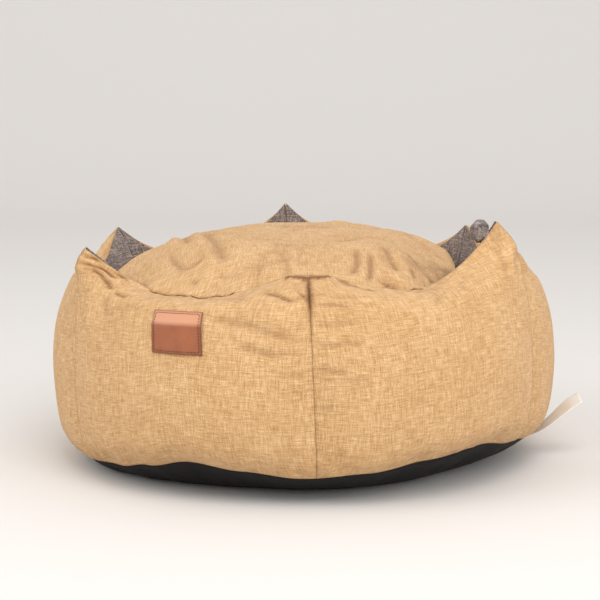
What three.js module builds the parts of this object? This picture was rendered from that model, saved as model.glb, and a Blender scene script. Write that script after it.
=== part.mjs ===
import * as THREE from "three";

// A round pet bed of stuffed cloth. Six wall panels rise to a peak at each of their six
// seams and lean in over a domed cushion. Their inner faces are lined in grey and a dark
// base cloth closes the bed underneath.
// Millimetres, +Z up, the floor at Z = 0, the bed's middle at X = Y = 0. Angles are
// degrees round the bed, from the front (-Y) towards +X.

const GAP = 0.35; // clearance between neighbouring pieces
const SEAT_GAP = 0.5; // wall and cushion above the base cloth, measured upright
const SEAM_GAP_DEG = 0.06; // half the parting between two panels, seen from the middle
const LINING_THICK = 2;
const LINING_GAP = 0.8; // lining to the stuffed wall behind it
const BASE_THICK = 2;

const BASE_SEAM_R = 222; // where the wall cloth is sewn to the base cloth
const BASE_SEAM_LIP = 0.4; // the wall cloth stands this far outside the base cloth
const BASE_RISE_POWER = 1.7; // how the underside turns up from the floor to that seam
const BASE_LIES_BELOW = 1.2; // the cloth lies flat where it would clear the floor by less
const FLAT_RINGS = [70, 128]; // radii where the flat of the base cloth is cut
const WALL_FOOT_RINGS = [188, 200, 211, BASE_SEAM_R]; // and those where its turned-up edge is

const WELL_R_FOOT = 174; // inner face of the wall at the floor
const WELL_R_TOP = 181; // inner face of the wall at the cushion's edge
const WELL_TOP_Z = 185;
const LIP_DEPTH_SHARE = 0.55; // share of the inner face that flares out to the rim

const CUSHION_CLEAR = 1.3; // cushion side to lining
const CUSHION_FOOT_R = 150;
const CUSHION_OFFSET_X = -5; // the dome's summit lies a little left of the middle
const DOME_TOP_Z = 229;
const DOME_EDGE_POWER = 12; // folds fade out over the last of the way to the cushion's edge

const PATCH_W = 50;
const PATCH_H = 40;
const PATCH_THICK = 1.5;
const PATCH_LIFT = 0.95; // its back off the curve of the wall, whose facets come closer
const PATCH_WALL_R = 240; // radius of the wall behind the patch
const PATCH_LEAN = 0.95; // upright share of the patch's height, as the wall leans in
const PATCH_DEG = -28;
const PATCH_MID_Z = 156;
const PATCH_TURN = -2; // it sits askew, its top towards the left

const LABEL_W = 27;
const LABEL_THICK = 1;
const LABEL_DEG = 85;

// The wall's section at its six seams, from the front seam on.
const SEAMS = [
  { baseDeg: 3, bellyR: 240, bellyZ: 92, browR: 224, browZ: 180 },
  { baseDeg: 63, bellyR: 243, bellyZ: 95, browR: 230, browZ: 205 },
  { baseDeg: 121, bellyR: 242, bellyZ: 92, browR: 222, browZ: 192 },
  { baseDeg: 184, bellyR: 241, bellyZ: 94, browR: 222, browZ: 196 },
  { baseDeg: 243, bellyR: 243, bellyZ: 92, browR: 235, browZ: 190 },
  { baseDeg: 299, bellyR: 244, bellyZ: 90, browR: 239, browZ: 190 },
];

// The peaks at the top of those seams: the tip, the share of the half panel over which
// the rim stays level beside it, and how quickly the rim falls away before and after it.
// The front peak is tucked down, so its top is level.
const PEAKS = [
  { tipDeg: 1, tipR: 190, tipZ: 205, level: 0.17, before: 1.6, after: 1.6 },
  { tipDeg: 62, tipR: 205, tipZ: 243, level: 0, before: 1.75, after: 1.9 },
  { tipDeg: 119, tipR: 195, tipZ: 219, level: 0, before: 2, after: 2.6 },
  { tipDeg: 186, tipR: 191, tipZ: 231, level: 0, before: 2, after: 1.8 },
  { tipDeg: 243, tipR: 220, tipZ: 216, level: 0, before: 4, after: 2 },
  { tipDeg: 297, tipR: 231, tipZ: 219, level: 0, before: 2.4, after: 3.4 },
];

// The panels between those seams, at their middles.
const PANELS = [
  { bellyR: 249, bellyZ: 90, browR: 228, browZ: 178, rimR: 187, rimZ: 187 },
  { bellyR: 249, bellyZ: 92, browR: 228, browZ: 181, rimR: 189, rimZ: 188 },
  { bellyR: 248, bellyZ: 92, browR: 228, browZ: 178, rimR: 188, rimZ: 186 },
  { bellyR: 248, bellyZ: 92, browR: 228, browZ: 178, rimR: 188, rimZ: 186 },
  { bellyR: 249, bellyZ: 88, browR: 230, browZ: 178, rimR: 209, rimZ: 187 },
  { bellyR: 249, bellyZ: 88, browR: 231, browZ: 176, rimR: 189, rimZ: 180 },
];

// The lower edge all round: height of the base seam, and where the underside leaves the
// floor. The bed lies unevenly, lifted most at the right of the front.
const BASE_EDGE = [
  { deg: 0, seamZ: 26, floorR: 149 },
  { deg: 15, seamZ: 29, floorR: 150 },
  { deg: 30, seamZ: 36, floorR: 151 },
  { deg: 47, seamZ: 41, floorR: 150 },
  { deg: 62, seamZ: 33, floorR: 152 },
  { deg: 80, seamZ: 24, floorR: 170 },
  { deg: 105, seamZ: 20, floorR: 174 },
  { deg: 130, seamZ: 24, floorR: 165 },
  { deg: 155, seamZ: 30, floorR: 158 },
  { deg: 180, seamZ: 28, floorR: 146 },
  { deg: 205, seamZ: 30, floorR: 158 },
  { deg: 230, seamZ: 24, floorR: 170 },
  { deg: 255, seamZ: 15, floorR: 190 },
  { deg: 275, seamZ: 11, floorR: 199 },
  { deg: 292, seamZ: 12.6, floorR: 198 },
  { deg: 310, seamZ: 19, floorR: 178 },
  { deg: 320, seamZ: 26, floorR: 167 },
  { deg: 333, seamZ: 35.5, floorR: 158 },
  { deg: 346, seamZ: 31, floorR: 149 },
];

// Soft folds in the wall: where each lies, its half sizes along and across the cloth,
// its turn from the level, and how far it stands out (or in, when negative).
const WALL_FOLDS = [
  { deg: 1, z: 186, long: 26, across: 7, turn: 90, raise: -11 }, // crease under the front tuck
  { deg: 2, z: 135, long: 45, across: 6, turn: 90, raise: -3 },
  { deg: -46, z: 190, long: 26, across: 7, turn: 28, raise: 5 }, // pleats at the fallen corner
  { deg: -55, z: 178, long: 22, across: 6, turn: 20, raise: -6 },
  { deg: -58, z: 204, long: 16, across: 5, turn: 30, raise: -5 },
  { deg: -14, z: 176, long: 18, across: 7, turn: -30, raise: -3 },
  { deg: 12, z: 150, long: 22, across: 8, turn: -8, raise: -3 },
  { deg: 26, z: 184, long: 11, across: 8, turn: 0, raise: -5 }, // dimple at the rim
  { deg: -13, z: 40, long: 16, across: 6, turn: 60, raise: 3 },
];

// Where the inner face swells: the tip at the right of the front is curled inwards, and
// its roll is lifted level with the tip.
const LINING_FOLDS = [
  { deg: 61, z: 231, long: 19, across: 12, turn: 0, raise: 19 },
];
const LINING_FOLD_LIFT = 0.6; // rise of such a roll for each millimetre it stands in

// The dome from its edge to its summit: share of the cushion's radius, and height.
const DOME = [
  { share: 1, z: 176 },
  { share: 0.985, z: 188 },
  { share: 0.93, z: 197.5 },
  { share: 0.85, z: 205 },
  { share: 0.75, z: 212.5 },
  { share: 0.64, z: 219 },
  { share: 0.52, z: 223 },
  { share: 0.38, z: 226.5 },
  { share: 0.22, z: 228.5 },
];

// Ridges and hollows of the cushion's cloth, in plan: middle, half sizes, turn, height.
const DOME_FOLDS = [
  { x: -104, y: -20, long: 60, across: 16, turn: 80, raise: 4 }, // shoulder at the left
  { x: -92, y: -70, long: 70, across: 7, turn: 85, raise: 3 },
  { x: 48, y: -95, long: 60, across: 9, turn: -55, raise: 4 },
  { x: 62, y: -66, long: 40, across: 10, turn: -70, raise: -4 },
  { x: 88, y: -60, long: 55, across: 12, turn: -60, raise: 3 },
  { x: 118, y: -78, long: 40, across: 9, turn: -65, raise: -3 },
  { x: 74, y: -154, long: 16, across: 12, turn: 0, raise: -9 }, // dimple behind the rim
  { x: 10, y: -120, long: 60, across: 18, turn: 5, raise: 3 },
];

// The cloth label at the base seam: distance out from the seam and height above it.
const LABEL_CURVE = [
  { out: 0.3, up: -0.6 },
  { out: 11, up: 1.5 },
  { out: 22, up: 8 },
  { out: 33, up: 19 },
  { out: 43, up: 29 },
  { out: 54, up: 33 },
];

const COLORS = { tan: 0xdcb681, grey: 0x837a78, base: 0x323234, leather: 0x9c5534, satin: 0xf1efe8 };

const radians = THREE.MathUtils.degToRad;
const clamp = THREE.MathUtils.clamp;
const mix = THREE.MathUtils.lerp;

const polar = (deg, r, z) => new THREE.Vector3(r * Math.sin(radians(deg)), -r * Math.cos(radians(deg)), z);

// A column of a table of rows round the bed, eased from row to row.
function around(rows, deg, column) {
  const a = ((deg % 360) + 360) % 360;
  let i = rows.length - 1;
  while (rows[i].deg > a) i--;
  const next = rows[(i + 1) % rows.length];
  const span = next.deg + (i + 1 === rows.length ? 360 : 0) - rows[i].deg;
  const ease = (1 - Math.cos((Math.PI * (a - rows[i].deg)) / span)) / 2;
  return mix(rows[i][column], next[column], ease);
}

// Height of the underside of the base cloth.
function underside(deg, r) {
  const floorR = around(BASE_EDGE, deg, "floorR");
  const s = clamp((r - floorR) / (BASE_SEAM_R - floorR), 0, 1);
  const clear = around(BASE_EDGE, deg, "seamZ") * s ** BASE_RISE_POWER;
  return clear < BASE_LIES_BELOW ? 0 : clear;
}

// One soft bump of unit height with its long side turned from the level.
function bump(du, dv, fold) {
  const c = Math.cos(radians(fold.turn));
  const s = Math.sin(radians(fold.turn));
  const along = (du * c + dv * s) / fold.long;
  const over = (dv * c - du * s) / fold.across;
  return Math.exp(-along * along - over * over);
}

// The sum of a table's folds at a place on the wall.
function foldsAt(folds, deg, z) {
  let sum = 0;
  for (const fold of folds) {
    const away = ((deg - fold.deg + 540) % 360) - 180;
    sum += fold.raise * bump(radians(away) * BASE_SEAM_R, z - fold.z, fold);
  }
  return sum;
}

// The seam's angle at a height: it leans from its base angle to its tip angle.
function seamDeg(k, z) {
  return mix(SEAMS[k].baseDeg, PEAKS[k].tipDeg, clamp(z / PEAKS[k].tipZ, 0, 1));
}

function panelDeg(k, t, z) {
  const from = seamDeg(k, z);
  const to = seamDeg((k + 1) % SEAMS.length, z) + (k === SEAMS.length - 1 ? 360 : 0);
  const deg = mix(from, to, t);
  if (t === 0) return deg + SEAM_GAP_DEG;
  if (t === 1) return deg - SEAM_GAP_DEG;
  return deg;
}

// The measures of the section a share t of the way along panel k.
function measures(k, t) {
  const first = t < 0.5;
  const end = first ? k : (k + 1) % SEAMS.length;
  const [seam, peak, panel] = [SEAMS[end], PEAKS[end], PANELS[k]];
  const away = first ? t * 2 : 2 - t * 2;
  const fall = first ? peak.after : peak.before;
  const near = (1 - away) ** fall;
  const nearRim = Math.min(1, (1 - away) / (1 - peak.level)) ** fall;
  return {
    bellyR: mix(panel.bellyR, seam.bellyR, near),
    bellyZ: mix(panel.bellyZ, seam.bellyZ, near),
    browR: mix(panel.browR, seam.browR, near),
    browZ: mix(panel.browZ, seam.browZ, near),
    rimR: mix(panel.rimR, peak.tipR, nearRim),
    rimZ: mix(panel.rimZ, peak.tipZ, nearRim),
  };
}

const OUTER_STEPS = 13;
const LOW_SWELL = { out: 0.76, up: 0.3 }; // point between base seam and belly, as shares of the way
const HIGH_SWELL = { out: 0.24, up: 0.56 }; // point between belly and brow, likewise
const INNER_SHARES = [0, 0.025, 0.06, 0.11, 0.19, 0.32, 0.55, 1]; // rim to foot, closer at the rim
const CROWN_BULGE = 5; // how far the top of the wall arches over the straight line

// The outer face from the base seam to the rim, as points (r, z).
function outerCurve(k, t) {
  const m = measures(k, t);
  const deg = panelDeg(k, t, 0);
  const seamZ = around(BASE_EDGE, deg, "seamZ");
  const start = new THREE.Vector2(BASE_SEAM_R + BASE_SEAM_LIP, seamZ + BASE_SEAM_LIP);
  const brow = new THREE.Vector2(m.browR, m.browZ);
  const rim = new THREE.Vector2(m.rimR, m.rimZ);
  const chord = rim.clone().sub(brow);
  const crown = brow.clone().lerp(rim, 0.5);
  crown.add(new THREE.Vector2(chord.y, -chord.x).normalize().multiplyScalar(CROWN_BULGE));
  const curve = new THREE.SplineCurve([
    start,
    new THREE.Vector2(mix(start.x, m.bellyR, LOW_SWELL.out), mix(start.y, m.bellyZ, LOW_SWELL.up)),
    new THREE.Vector2(m.bellyR, m.bellyZ),
    new THREE.Vector2(mix(m.bellyR, m.browR, HIGH_SWELL.out), mix(m.bellyZ, m.browZ, HIGH_SWELL.up)),
    brow,
    crown,
    rim,
  ]);
  return curve.getSpacedPoints(OUTER_STEPS).map((p, j) => {
    const fade = Math.min(1, j / 2, (OUTER_STEPS - j) / 2);
    p.x += foldsAt(WALL_FOLDS, panelDeg(k, t, p.y), p.y) * fade;
    return p;
  });
}

// The inner face from the rim down to the base cloth, as points (r, z).
function innerCurve(k, t) {
  const m = measures(k, t);
  const footZ = underside(panelDeg(k, t, 0), WELL_R_FOOT) + BASE_THICK + SEAT_GAP;
  return INNER_SHARES.map((share) => {
    const z = mix(m.rimZ, footZ, share);
    const well = mix(WELL_R_FOOT, WELL_R_TOP, clamp(z / WELL_TOP_Z, 0, 1));
    const flare = Math.max(0, 1 - share / LIP_DEPTH_SHARE) ** 2;
    const swell = share === 0 ? 0 : foldsAt(LINING_FOLDS, panelDeg(k, t, z), z);
    return new THREE.Vector2(mix(well, m.rimR, flare) - swell, z + swell * LINING_FOLD_LIFT);
  });
}

// The curve moved to its left by a distance, each point square to its neighbours.
function shifted(curve, distance) {
  return curve.map((p, j) => {
    const a = curve[Math.max(0, j - 1)];
    const b = curve[Math.min(curve.length - 1, j + 1)];
    const side = new THREE.Vector2(a.y - b.y, b.x - a.x).normalize();
    return p.clone().addScaledVector(side, distance);
  });
}

function geometryOf(points, faces) {
  const geometry = new THREE.BufferGeometry();
  const coordinates = points.flatMap((p) => p.toArray());
  geometry.setAttribute("position", new THREE.Float32BufferAttribute(coordinates, 3));
  geometry.setIndex(faces);
  geometry.computeVertexNormals();
  return geometry;
}

// A closed body swept through sections of equal length, each a closed outline of flat
// points placed by place(i, p), with both ends capped. Two bodies that face each other
// across a small gap split their quads along the same diagonal: one of them is mirrored.
function sweep(sections, place, mirrored = false) {
  const n = sections[0].length;
  const points = sections.flatMap((section, i) => section.map((p) => place(i, p)));
  const faces = [];
  for (let i = 0; i + 1 < sections.length; i++) {
    for (let j = 0; j < n; j++) {
      const a = i * n + j;
      const b = i * n + ((j + 1) % n);
      if (mirrored) faces.push(a, a + n, b + n, a, b + n, b);
      else faces.push(a, a + n, b, b, a + n, b + n);
    }
  }
  const last = (sections.length - 1) * n;
  for (let j = 0; j < n - 2 - j; j++) {
    const [a, b, c, d] = [j, j + 1, n - 2 - j, n - 1 - j];
    faces.push(a, b, d, last + a, last + d, last + b);
    if (b < c) faces.push(b, c, d, last + b, last + d, last + c);
  }
  return geometryOf(points, faces);
}

// A closed round body from a point below, through rings, to a point above.
function roundBody(below, rings, above) {
  const n = rings[0].length;
  const points = [below, ...rings.flat(), above];
  const faces = [];
  for (let i = 0; i < n; i++) {
    const j = (i + 1) % n;
    faces.push(0, 1 + j, 1 + i);
    for (let k = 0; k + 1 < rings.length; k++) {
      const a = 1 + k * n;
      faces.push(a + i, a + j, a + n + j, a + i, a + n + j, a + n + i);
    }
    const top = 1 + (rings.length - 1) * n;
    faces.push(top + i, top + j, points.length - 1);
  }
  return geometryOf(points, faces);
}

// Sections along a panel lie closer together near its two seams.
const PANEL_SHARES = [0, 0.03, 0.08, 0.15, 0.24, 0.34, 0.42, 0.5, 0.58, 0.66, 0.76, 0.85, 0.92, 0.97, 1];

// The stuffed wall between two seams.
function wallPanel(k) {
  const sections = PANEL_SHARES.map((t) => {
    const outer = outerCurve(k, t);
    const inner = innerCurve(k, t);
    const deg = panelDeg(k, t, 0);
    const seat = BASE_THICK + SEAT_GAP;
    const under = WALL_FOOT_RINGS.map((r) => new THREE.Vector2(r, underside(deg, r) + seat));
    return [...outer, ...inner.slice(1), ...under];
  });
  return sweep(sections, (i, p) => polar(panelDeg(k, PANEL_SHARES[i], p.y), p.x, p.y));
}

// The grey lining on the inner face of one wall panel, rim to floor.
function liningPanel(k) {
  const sections = PANEL_SHARES.map((t) => {
    const inner = innerCurve(k, t);
    return [...shifted(inner, -LINING_GAP - LINING_THICK), ...shifted(inner, -LINING_GAP).reverse()];
  });
  return sweep(sections, (i, p) => polar(panelDeg(k, PANEL_SHARES[i], p.y), p.x, p.y), true);
}

const RING_DEGS = SEAMS.flatMap((seam, k) => PANEL_SHARES.slice(0, -1).map((t) => panelDeg(k, t, 0)));

// The base cloth: flat on the floor, turned up all round to the base seam.
function basePanel() {
  const radii = [...FLAT_RINGS, CUSHION_FOOT_R, WELL_R_FOOT, ...WALL_FOOT_RINGS];
  const ring = (r, lift) => RING_DEGS.map((deg) => polar(deg, r, underside(deg, r) + lift));
  const rings = [...radii.map((r) => ring(r, 0)), ...radii.reverse().map((r) => ring(r, BASE_THICK))];
  return roundBody(polar(0, 0, 0), rings, polar(0, 0, BASE_THICK));
}

const CUSHION_SIDES = 60;

// The cushion's side from its foot up: how far it is drawn in, and height.
const CUSHION_SIDE = [
  { inset: 8, z: 14 },
  { inset: 2, z: 32 },
  { inset: 0, z: 70 },
  { inset: 0, z: 120 },
  { inset: 0, z: 155 },
];

// The filled cushion: a flat foot on the base cloth, full sides and a domed top.
function cushion() {
  const degs = Array.from({ length: CUSHION_SIDES }, (_, i) => (i * 360) / CUSHION_SIDES);
  const clear = LINING_THICK + GAP + CUSHION_CLEAR;
  const sideR = (z) => mix(WELL_R_FOOT, WELL_R_TOP, clamp(z / WELL_TOP_Z, 0, 1)) - clear;
  const foot = (deg, r) => polar(deg, r, underside(deg, r) + BASE_THICK + SEAT_GAP);
  const top = (row) => (deg) => {
    const r = sideR(WELL_TOP_Z) * row.share;
    const p = polar(deg, r, row.z);
    p.x += CUSHION_OFFSET_X * (1 - row.share);
    const held = 1 - row.share ** DOME_EDGE_POWER;
    for (const fold of DOME_FOLDS) p.z += fold.raise * bump(p.x - fold.x, p.y - fold.y, fold) * held;
    return p;
  };
  const rings = [
    degs.map((deg) => foot(deg, CUSHION_FOOT_R)),
    ...CUSHION_SIDE.map((row) => degs.map((deg) => polar(deg, sideR(row.z) - row.inset, row.z))),
    ...DOME.map((row) => degs.map(top(row))),
  ];
  return roundBody(polar(0, 0, BASE_THICK + SEAT_GAP), rings, top({ share: 0, z: DOME_TOP_Z })(0));
}

// A point of the wall's outer face, lifted off it square to the cloth.
function onWall(deg, z, lift) {
  const k = SEAMS.length - 1;
  const from = seamDeg(k, z);
  const to = seamDeg(0, z) + 360;
  const radiusAt = (height) => {
    const curve = outerCurve(k, clamp((deg + 360 - from) / (to - from), 0, 1));
    const j = curve.findIndex((p) => p.y >= height);
    const a = curve[j - 1];
    const b = curve[j];
    return mix(a.x, b.x, (height - a.y) / (b.y - a.y));
  };
  const slope = (radiusAt(z + 3) - radiusAt(z - 3)) / 6;
  const square = new THREE.Vector2(1, -slope).normalize();
  return polar(deg, radiusAt(z) + lift * square.x, z + lift * square.y);
}

// The leather patch, sewn to the front left panel and curved with it.
function leatherPatch() {
  const across = 10;
  const up = 6;
  const turn = radians(PATCH_TURN);
  const sections = [];
  for (let i = 0; i <= across; i++) {
    const near = [];
    const far = [];
    for (let j = 0; j <= up; j++) {
      const x = PATCH_W * (i / across - 0.5);
      const y = PATCH_H * (j / up - 0.5);
      const along = (x * Math.cos(turn) + y * Math.sin(turn)) / PATCH_WALL_R;
      const deg = PATCH_DEG + THREE.MathUtils.radToDeg(along);
      const z = PATCH_MID_Z + (y * Math.cos(turn) - x * Math.sin(turn)) * PATCH_LEAN;
      near.push({ deg, z, lift: PATCH_LIFT });
      far.push({ deg, z, lift: PATCH_LIFT + PATCH_THICK });
    }
    sections.push([...far, ...near.reverse()]);
  }
  return sweep(sections, (i, p) => onWall(p.deg, p.z, p.lift));
}

// The care label, held at the base seam and standing out in a soft curve.
function careLabel() {
  const root = BASE_SEAM_R + BASE_SEAM_LIP * 2;
  const centre = LABEL_CURVE.map((row) => new THREE.Vector2(root + row.out, row.up));
  const outline = [...shifted(centre, -LABEL_THICK / 2), ...shifted(centre, LABEL_THICK / 2).reverse()];
  const turn = THREE.MathUtils.radToDeg(LABEL_W / BASE_SEAM_R);
  const degs = [-0.5, -0.25, 0, 0.25, 0.5].map((share) => LABEL_DEG + turn * share);
  const seamZs = degs.map((deg) => around(BASE_EDGE, deg, "seamZ"));
  return sweep(degs.map(() => outline), (i, p) => polar(degs[i], p.x, p.y + seamZs[i]));
}

const group = new THREE.Group();

function add(name, geometry, color, roughness) {
  const material = new THREE.MeshStandardMaterial({ color, roughness, metalness: 0 });
  const mesh = new THREE.Mesh(geometry, material);
  mesh.name = name;
  group.add(mesh);
}

SEAMS.forEach((seam, k) => {
  add(`wall_${k + 1}`, wallPanel(k), COLORS.tan, 0.95);
  add(`lining_${k + 1}`, liningPanel(k), COLORS.grey, 0.95);
});
add("cushion", cushion(), COLORS.tan, 0.95);
add("base_panel", basePanel(), COLORS.base, 0.9);
add("leather_patch", leatherPatch(), COLORS.leather, 0.6);
add("care_label", careLabel(), COLORS.satin, 0.5);

export default group;
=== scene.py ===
import math

import bmesh
import bpy
from mathutils import Matrix, Vector, noise
from mathutils.bvhtree import BVHTree


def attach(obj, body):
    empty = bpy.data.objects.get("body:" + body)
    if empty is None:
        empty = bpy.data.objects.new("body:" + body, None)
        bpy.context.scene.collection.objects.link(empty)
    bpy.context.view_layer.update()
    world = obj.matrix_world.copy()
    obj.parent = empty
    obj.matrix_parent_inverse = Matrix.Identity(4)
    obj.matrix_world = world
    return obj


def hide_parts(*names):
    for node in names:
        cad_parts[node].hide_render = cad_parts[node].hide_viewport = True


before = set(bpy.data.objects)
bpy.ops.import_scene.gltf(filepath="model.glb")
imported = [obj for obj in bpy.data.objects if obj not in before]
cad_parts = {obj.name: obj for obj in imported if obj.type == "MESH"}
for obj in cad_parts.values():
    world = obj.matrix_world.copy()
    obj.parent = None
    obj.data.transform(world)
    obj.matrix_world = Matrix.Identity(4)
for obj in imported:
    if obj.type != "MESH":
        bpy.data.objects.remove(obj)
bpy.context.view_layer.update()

scene = bpy.context.scene

# ---- The camera ----
# It stands 1.8 m in front of the bed with a long lens and looks 8.5 degrees down on the
# front seam. Angles round the bed are degrees from that seam towards +X.
CAMERA_AWAY = 1.8
CAMERA_DOWN = math.radians(8.5)
camera_data = bpy.data.cameras.new("camera")
camera_data.sensor_width = 36
camera_data.lens = 108
camera = bpy.data.objects.new("camera", camera_data)
towards = Vector((0, math.cos(CAMERA_DOWN), -math.sin(CAMERA_DOWN)))
camera.location = Vector((-0.004, 0, 0.154)) - towards * CAMERA_AWAY
camera.rotation_euler = towards.to_track_quat("-Z", "Y").to_euler()
scene.collection.objects.link(camera)
scene.camera = camera

# ---- The linen-look cloth ----
# A coarse plain weave of uneven flecked yarn. The pattern lies on each piece's own UV
# map, in metres along the weft and the warp, so its yarns keep one real size everywhere.
class Link:
    """A shader socket that Python's operators work on."""

    tree = None

    def __init__(self, socket):
        self.socket = socket

    @classmethod
    def node(cls, kind, settings=(), **inputs):
        made = cls.tree.nodes.new(kind)
        for name, value in dict(settings).items():
            if name == "stops":
                ramp = made.color_ramp
                while len(ramp.elements) < len(value):
                    ramp.elements.new(0.5)
                for element, (place, color) in zip(ramp.elements, value):
                    element.position = place
                    element.color = (*color, 1)
            else:
                setattr(made, name, value)
        for name, value in inputs.items():
            key = int(name[1:]) if name[0] == "_" else name.replace("_", " ")
            if isinstance(value, Link):
                cls.tree.links.new(value.socket, made.inputs[key])
            else:
                made.inputs[key].default_value = value
        return made

    @classmethod
    def result(cls, kind, settings=(), output=0, **inputs):
        return cls(cls.node(kind, settings, **inputs).outputs[output])

    def math(self, operation, *others):
        inputs = {f"_{i}": value for i, value in enumerate((self, *others))}
        return Link.result("ShaderNodeMath", {"operation": operation}, **inputs)

    def __add__(self, other):
        return self.math("ADD", other)

    def __sub__(self, other):
        return self.math("SUBTRACT", other)

    def __mul__(self, other):
        return self.math("MULTIPLY", other)

    def __rsub__(self, other):
        return Link.result("ShaderNodeMath", {"operation": "SUBTRACT"}, _0=other, _1=self)

    __radd__ = __add__
    __rmul__ = __mul__

    def into(self, shader, name):
        Link.tree.links.new(self.socket, shader.inputs[name])


def grain(place, along, across, detail=2.0):
    """Noise about zero, with its own size in metres along and across the cloth."""
    scaled = Link.result("ShaderNodeMapping", {}, Vector=place, Scale=(1 / along, 1 / across, 1))
    size = {"noise_dimensions": "2D"}
    return Link.result("ShaderNodeTexNoise", size, Vector=scaled, Scale=1.0, Detail=detail) - 0.5


def blended(factor, first, second):
    """Two colours mixed by a factor."""
    made = Link.node("ShaderNodeMix", {"data_type": "RGBA"}, Factor=factor)
    for socket, value in zip((made.inputs[6], made.inputs[7]), (first, second)):
        if isinstance(value, Link):
            Link.tree.links.new(value.socket, socket)
        else:
            socket.default_value = (*value, 1)
    return Link(made.outputs[2])


def material(name, roughness):
    """A new material, with its tree made the one that nodes go into."""
    made = bpy.data.materials.new(name)
    made.use_nodes = True
    Link.tree = made.node_tree
    shader = made.node_tree.nodes["Principled BSDF"]
    shader.inputs["Roughness"].default_value = roughness
    return made, shader


def woven(name, dark, middle, light, fold_shade_colour, pitch, flecked):
    """A plain weave: three tones of yarn, the dark tone painted as shade deep in folds, and the
    yarns' pitch.
    """
    made, shader = material(name, 0.93)
    place = Link.result("ShaderNodeUVMap", {"uv_map": "cloth"})
    yarns = grain(place, pitch * 9, pitch * 0.9) + grain(place, pitch * 0.9, pitch * 9)
    slubs = grain(place, pitch * 24, pitch * 2.2) + grain(place, pitch * 2.2, pitch * 24)
    flecks = grain(place, pitch * 1.1, pitch * 1.1, 3.0)
    patches = grain(place, 0.05, 0.06, 3.0)
    axes = Link.node("ShaderNodeSeparateXYZ", {}, Vector=place)
    wave = [(Link(axes.outputs[i]) * (math.pi / pitch)).math("SINE") for i in (0, 1)]
    crossings = wave[0] * wave[1]
    tone = 0.5 + yarns * 0.7 + slubs * 0.32 + flecks * flecked + patches * 0.22 + crossings * 0.05
    stops = [(0.1, dark), (0.5, middle), (0.9, light)]
    yarn = Link.result("ShaderNodeValToRGB", {"stops": stops}, Fac=tone)
    # This attribute paints shade: it mixes the yarn towards the dark fold-shade colour in folds,
    # along seams and on hidden parts.
    folds = Link.result("ShaderNodeAttribute", {"attribute_name": "crease"}, output="Fac")
    blended(folds, yarn, fold_shade_colour).into(shader, "Base Color")
    height = crossings * 0.5 + yarns * 1.2 + slubs * 1.2 + flecks * 0.4
    relief = Link.result("ShaderNodeBump", {}, Strength=0.55, Distance=0.0005, Height=height)
    relief.into(shader, "Normal")
    shader.inputs["Specular IOR Level"].default_value = 0.15
    shader.inputs["Sheen Weight"].default_value = 0.1
    shader.inputs["Sheen Roughness"].default_value = 0.6
    return made


# The fourth colour of each is painted shade: the dark tone put into folds, seams and hidden parts.
TAN = ((0.4, 0.212, 0.08), (0.585, 0.352, 0.16), (0.78, 0.545, 0.31), (0.2, 0.078, 0.026))
GREY = ((0.045, 0.034, 0.034), (0.195, 0.155, 0.14), (0.47, 0.405, 0.375), (0.03, 0.024, 0.024))
tan_linen = woven("tan_linen", *TAN, 0.0011, 0.35)
grey_linen = woven("grey_linen", *GREY, 0.0012, 1.0)

# ---- The stuffed wall ----
# Six panels of tan cloth over loose fibre, sewn to each other at six seams that end in
# peaks, to the lining at the rim and to the base cloth below. They are shaped as one ring
# and swelled against their seams by cloth simulation, then parted again at the seams.
BASE_SEAM_R = 0.2224
WELL_R_FOOT, WELL_R_TOP, WELL_TOP_Z = 0.174, 0.181, 0.185
LIP_DEPTH_SHARE = 0.55
BASE_THICK = 0.0025

SEAM_COLUMNS = ("base_deg", "belly_r", "belly_z", "brow_r", "brow_z")
SEAMS = [dict(zip(SEAM_COLUMNS, row)) for row in (
    (3, 0.240, 0.092, 0.224, 0.180),
    (63, 0.243, 0.095, 0.230, 0.205),
    (121, 0.242, 0.092, 0.222, 0.192),
    (184, 0.241, 0.094, 0.222, 0.196),
    (243, 0.243, 0.092, 0.235, 0.190),
    (299, 0.244, 0.090, 0.239, 0.190),
)]
PEAK_COLUMNS = ("tip_deg", "tip_r", "tip_z", "level", "before", "after")
PEAKS = [dict(zip(PEAK_COLUMNS, row)) for row in (
    (1, 0.190, 0.205, 0.17, 1.6, 1.6),
    (62, 0.205, 0.243, 0, 1.75, 1.9),
    (119, 0.195, 0.219, 0, 2, 2.6),
    (186, 0.191, 0.231, 0, 2, 1.8),
    (243, 0.220, 0.216, 0, 4, 2),
    (297, 0.231, 0.219, 0, 2.4, 3.4),
)]
PANEL_COLUMNS = ("belly_r", "belly_z", "brow_r", "brow_z", "rim_r", "rim_z")
PANELS = [dict(zip(PANEL_COLUMNS, row)) for row in (
    (0.249, 0.090, 0.228, 0.178, 0.187, 0.187),
    (0.249, 0.092, 0.228, 0.181, 0.189, 0.188),
    (0.248, 0.092, 0.228, 0.178, 0.188, 0.186),
    (0.248, 0.092, 0.228, 0.178, 0.188, 0.186),
    (0.249, 0.088, 0.230, 0.178, 0.209, 0.187),
    (0.249, 0.088, 0.231, 0.176, 0.189, 0.180),
)]
# The lower edge: angle, height of the base seam, radius where the underside meets the floor.
BASE_EDGE = [
    (0, 0.026, 0.149), (15, 0.029, 0.150), (30, 0.036, 0.151), (47, 0.041, 0.150),
    (62, 0.033, 0.152), (80, 0.024, 0.170), (105, 0.020, 0.174), (130, 0.024, 0.165),
    (155, 0.030, 0.158), (180, 0.028, 0.146), (205, 0.030, 0.158), (230, 0.024, 0.170),
    (255, 0.015, 0.190), (275, 0.011, 0.199), (292, 0.0126, 0.198), (310, 0.019, 0.178),
    (320, 0.026, 0.167), (333, 0.0355, 0.158), (346, 0.031, 0.149),
]


def mix(a, b, share):
    return a + (b - a) * share


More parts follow.
